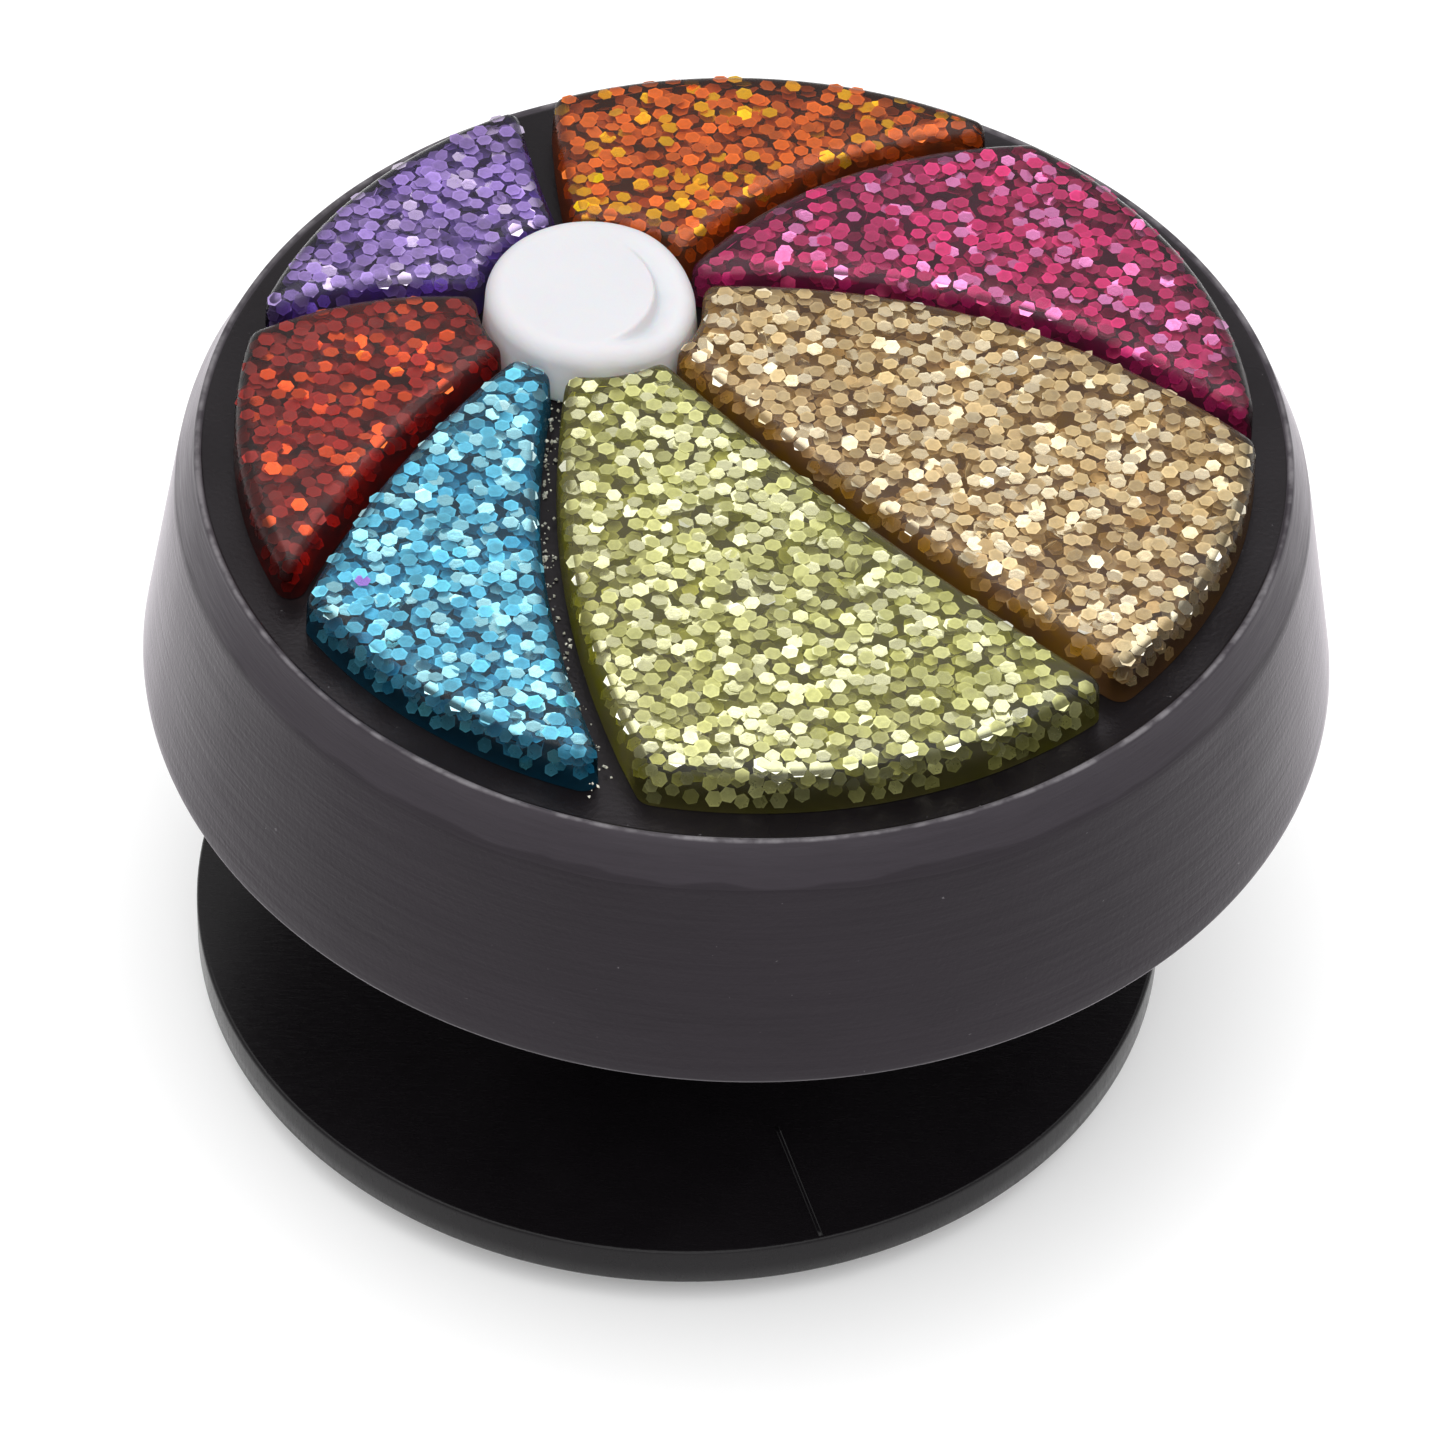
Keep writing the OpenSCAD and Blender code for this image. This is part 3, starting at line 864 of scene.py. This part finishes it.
def edge_lean(rng, gap):
    """How far a flake near the wall leans out, in degrees, and how far it sinks."""
    if gap > EDGE_ROUND:
        return 0.0, 0.0
    lean = math.asin((EDGE_ROUND - gap) / EDGE_ROUND)
    return math.degrees(lean) * rng.uniform(0.75, 1.05), EDGE_ROUND * (1 - math.cos(lean))


def layer_places(rng, loop, fill):
    """Places of one layer's flakes, each with its distance to the wall and the index of the
    nearest loop point."""
    low, high = loop.min(0), loop.max(0)
    tries = int(14 * (high - low).prod() / FLAKE_AREA)
    cloud = np.array([(rng.uniform(low[0], high[0]), rng.uniform(low[1], high[1]))
                      for _ in range(tries)])
    gap, index = nearest(cloud, loop)
    fits = inside(cloud, loop) & (gap > FLAKE_R * 0.8 + 0.02)
    wall = {tuple(p): (g, i) for p, g, i in zip(cloud[fits], gap[fits], index[fits])}
    target = int(fill * area_of(loop) / FLAKE_AREA)
    return [(p, *wall[p]) for p in spread([tuple(p) for p in cloud[fits]], FLAKE_R * 1.4, target)]


def tip_angle(rng, p):
    """How far a flake tips from level, in degrees: further where the pour was disturbed."""
    angle = abs(rng.gauss(0, 5.0))
    chance = rng.random()
    stirred = any(math.hypot(p[0] - x, p[1] - y) < r for x, y, r in DISTURBED)
    leaning, standing = STIRRED_SHARES if stirred else CALM_SHARES
    if chance < leaning:
        return rng.uniform(10, 40)
    if chance < standing:
        return rng.uniform(60, 85)
    return angle


def layer_tint(rng, look, p, layer, depth):
    """Tint and shine of a flake in a layer. The tints are patchy over the panel. Glint flakes are
    near-mirrors with a pale tint that is partly a painted glint.
    """
    tint = own_tint(rng, look, min(1.0, depth / DEEP_TINT_AT) * rng.uniform(0.7, 1.1)
                    + rng.uniform(-0.15, 0.15))
    patch = 1 + 0.9 * noise.noise(Vector((p[0] * 0.9, p[1] * 0.9, 5.5)))
    # Glint flakes: near-mirrors, and their pale tint is a painted glint.
    if layer < GLINT_LAYERS and rng.random() < look["glints"] * patch:
        return blend_colour(look["flake"], look["glint"], rng.uniform(0.5, 1)), rng.uniform(0.6, 1)
    return [min(1.0, c * (0.7 + 0.3 * patch)) for c in tint], 0.0


def panel_flakes(rng, loop, height, look):
    """Flakes as (centre, normal, turn, size, tint, shine): level layers, then a wrap at the
    wall. A tilted flake sinks so that it stays inside the resin."""
    outward = normals_of(loop)
    flakes = []
    for layer, depth in enumerate(LAYER_DEPTHS):
        for p, gap, i in layer_places(rng, loop, look["fill"]):
            lean, sink = edge_lean(rng, gap)
            turn = rng.uniform(0, 2 * math.pi)
            direction, angle = (math.cos(turn), math.sin(turn)), tip_angle(rng, p)
            if lean > angle:
                direction, angle = tuple(outward[i]), lean
            rise = FLAKE_R * math.sin(math.radians(max(0.0, angle - lean)))
            sink += max(depth + rng.uniform(-0.012, 0.03), rise + 0.012)
            tint, shine = layer_tint(rng, look, p, layer, depth)
            centre = Vector((p[0], p[1], TOP_Z + height - sink))
            flakes.append((centre, tilt_vector(direction, angle), rng.uniform(0, 2 * math.pi),
                           rng.uniform(0.9, 1.06), tint, shine))
    return flakes + wall_flakes(rng, loop, outward, height, look)


def wall_tint(rng, look, on_rim):
    """Tint and shine of a flake at the wall. In the seams it is painted brighter in the resin's
    colour: a painted glow.
    """
    tint = [min(1.0, 1.1 * c) for c in own_tint(rng, look, rng.uniform(0, 0.8))]
    if not on_rim:
        # Painted glow: seam flakes take the resin's bright tone, as if lit through the seam wall.
        glow = [min(1.0, 1.9 * c) for c in look["bright"]]
        tint = blend_colour(tint, glow, rng.uniform(0.3, 0.95))
    return tint, rng.uniform(0.5, 0.9) if rng.random() < 0.3 * look["glints"] else 0.2


def wall_flakes(rng, loop, outward, height, look):
    """Flakes that the pour pressed against the wall. On the outer rim they reach almost to
    the floor, with a ragged edge; at the seams they thin out sooner."""
    flakes, count = [], len(loop)
    length = count * OUTLINE_STEP
    tries = [(rng.uniform(0, length), rng.uniform(0.05, height - 0.16)) for _ in range(count * 5)]
    for along, z in spread(tries, FLAKE_R * 1.6, len(tries)):
        i = int(along / OUTLINE_STEP) % count
        x, y = loop[i]
        on_rim = math.hypot(x, y) > SEAM_LIMIT_R
        ragged = 0.5 + 0.5 * noise.noise(Vector((x * 1.6, y * 1.6, 7.7)))
        lowest, share = (0.3 * ragged - 0.16, 0.95) if on_rim else (0.25 * ragged, 0.6)
        if rng.random() > share * smooth_step((z - lowest) / 0.12):
            continue
        angle = min(85, max(20, rng.gauss(46, 14)))
        depth = FLAKE_R * math.cos(math.radians(angle)) + rng.uniform(0.01, 0.04)
        p = loop[i] - outward[i] * (depth + WALL_DRAFT)
        tint, shine = wall_tint(rng, look, on_rim)
        flakes.append((Vector((p[0], p[1], TOP_Z + z)), tilt_vector(tuple(outward[i]), angle),
                       rng.uniform(0, 2 * math.pi), rng.uniform(0.8, 1.0), tint, shine))
    return flakes


def flake_mesh(name, flakes, material):
    """All the flakes of a panel in one mesh: each is a thin closed hexagon with a faint dish, whose
    middle is painted darker than its rim: painted shade.
    """
    verts, faces, tints = [], [], []
    rings = ((1.0, -FLAKE_T / 2), (1.0, FLAKE_T / 2), (DISH_SHARE, FLAKE_T / 2 - FLAKE_DISH))
    for centre, normal, turn, size, tint, shine in flakes:
        across = normal.orthogonal().normalized()
        other = normal.cross(across)
        base = len(verts)
        for radius, lift in rings:
            for k in range(6):
                a = turn + k * math.pi / 3
                verts.append(centre + (across * math.cos(a) + other * math.sin(a))
                             * (FLAKE_R * size * radius) + normal * lift)
        faces.append(tuple(base + 5 - k for k in range(6)))
        faces.append(tuple(base + 12 + k for k in range(6)))
        for k in range(6):
            j = (k + 1) % 6
            faces.append((base + k, base + j, base + 6 + j, base + 6 + k))
            faces.append((base + 6 + k, base + 6 + j, base + 12 + j, base + 12 + k))
        # Painted shade: the dished middle is darker than the rim, less so on shiny flakes.
        middle = [c * (0.74 + 0.22 * shine) for c in tint]
        tints += [(*tint, shine)] * 12 + [(*middle, shine)] * 6
    obj = make_object(name, verts, faces, [material], smooth=False)
    layer = obj.data.color_attributes.new("flake_tint", "FLOAT_COLOR", "POINT")
    layer.data.foreach_set("color", np.array(tints, dtype=np.float32).ravel())
    return obj


def panel(colour, look):
    """One glitter panel: its resin body and the flakes inside it. Returns how many."""
    node, slot = colour + "_panel", colour + "_resin"
    low, high = box_mm(node)
    height = high[2] - low[2]
    loop = resample(top_outline(node), OUTLINE_STEP)
    bed = resin_bed(colour + "_resin_depth", [c * 0.25 for c in look["dark"]],
                    [c * 0.18 for c in look["bright"]])
    keep(resin_body(colour + "_resin_body", loop, height, [resin(slot, look), bed]), node)
    rng = random.Random("flakes of the " + colour + " panel")
    flakes = panel_flakes(rng, loop, height, look)
    if colour == "blue":
        stray = Vector((STRAY_X, STRAY_Y, TOP_Z + height - STRAY_DEPTH))
        almost_up = Vector((0.02, 0.03, 1)).normalized()
        flakes.append((stray, almost_up, 0.4, 0.95, STRAY_TINT, STRAY_SHINE))
    keep(flake_mesh(colour + "_flakes", flakes, glitter(colour + "_glitter")), None)
    return len(flakes)


# How many crumbs there are, and how near the next panel's wall has to be. A crumb is a small
# uneven octahedron.
CRUMBS, SEAM_REACH = 150, 0.6
CRUMB_CORNERS = ((1, 0, 0), (-1, 0, 0), (0, 1, 0), (0, -1, 0), (0, 0, 1), (0, 0, -1))
CRUMB_FACES = ((0, 2, 4), (2, 1, 4), (1, 3, 4), (3, 0, 4), (2, 0, 5), (1, 2, 5), (3, 1, 5), (0, 3, 5))


def seam_crumbs(here, beside, material):
    """Pale crumbs of resin and dust, caught in the seam between two panels."""
    loop = resample(top_outline(here), OUTLINE_STEP)
    outward = normals_of(loop)
    gap, _ = nearest(loop, resample(top_outline(beside), OUTLINE_STEP))
    along = [i for i in range(len(loop)) if gap[i] < SEAM_REACH]
    rng = random.Random("crumbs of the seam")
    verts, faces = [], []
    for _ in range(CRUMBS):
        i = rng.choice(along)
        size = 0.009 + 0.03 * rng.random() ** 2
        p = loop[i] + outward[i] * (size + 0.16 * rng.random() ** 2)
        centre = Vector((p[0], p[1], TOP_Z + size * 0.7 + rng.choice((0, rng.uniform(0, 0.35)))))
        turn = Quaternion((rng.random(), rng.random(), rng.random()), rng.uniform(0, 6))
        base = len(verts)
        verts += [centre + turn @ (Vector(c) * size * rng.uniform(0.6, 1.3)) for c in CRUMB_CORNERS]
        faces += [tuple(base + k for k in face) for face in CRUMB_FACES]
    crumbs = make_object("seam_crumbs", verts, faces, [material], smooth=False)
    keep(crumbs, None)


# ---------------------------------------------------------------- stage

def camera():
    """Looks down at the charm from the front, a little rolled."""
    elevation, distance, roll = 45.66, 104.0, 2.2
    aim = Vector((-0.154, -1.567, HEAD_Z))
    e = math.radians(elevation)
    data = bpy.data.cameras.new("camera")
    data.lens = 191.5
    data.sensor_width = 36
    data.clip_start = 0.001
    data.clip_end = 10
    cam = bpy.data.objects.new("camera", data)
    cam.location = (aim + Vector((0, -math.cos(e), math.sin(e))) * distance) * MM
    level = Quaternion((1, 0, 0), math.radians(90 - elevation))
    cam.rotation_mode = "QUATERNION"
    cam.rotation_quaternion = level @ Quaternion((0, 0, 1), math.radians(roll))
    bpy.context.scene.collection.objects.link(cam)
    bpy.context.scene.camera = cam


def area_light(name, place, target, size, power):
    """A soft rectangular light that the camera itself doesn't see."""
    data = bpy.data.lights.new(name, "AREA")
    data.shape = "RECTANGLE"
    data.size, data.size_y = size[0] * MM, size[1] * MM
    data.energy = power
    lamp = bpy.data.objects.new(name, data)
    lamp.location = Vector(place) * MM
    lamp.rotation_mode = "QUATERNION"
    lamp.rotation_quaternion = (Vector(target) - Vector(place)).to_track_quat("-Z", "Y")
    lamp.visible_camera = False
    bpy.context.scene.collection.objects.link(lamp)


def stage():
    """White floor, white surroundings, an overhead softbox and a weak light from the front."""
    material, tree, out = new_material("floor_paper")
    shader = add(tree, "ShaderNodeBsdfPrincipled", roughness=0.7, base_color=(0.9, 0.9, 0.9, 1),
                 emission_color=(1, 1, 1, 1), emission_strength=0.14)
    tree.links.new(shader.outputs["BSDF"], out.inputs["Surface"])
    corners = [(x * 400, y * 400, 0) for x, y in ((-1, -1), (1, -1), (1, 1), (-1, 1))]
    floor = make_object("floor", corners, [(0, 1, 2, 3)], [material])
    world = bpy.data.worlds.new("surroundings")
    bpy.context.scene.world = world
    world.use_nodes = True
    background = world.node_tree.nodes["Background"]
    background.inputs["Color"].default_value = (1, 1, 1, 1)
    background.inputs["Strength"].default_value = 0.66
    area_light("top_softbox", place=(0, -7, TOP_Z + 53), target=(0, -7, 0), size=(120, 106),
               power=0.062)
    area_light("front_fill", place=(0, -130, 75), target=(0, -10, 0), size=(90, 60), power=0.03)
    bpy.context.scene.view_settings.view_transform = "Standard"


camera()
stage()
head()
button()
end_cap()
glue = adhesive()
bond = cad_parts["bond_film"]
bond.data.materials.clear()
bond.data.materials.append(glue)
total = sum(panel(colour, look) for colour, look in PANELS.items())
seam_crumbs("blue_panel", "green_panel", glue)
print("flakes:", total)
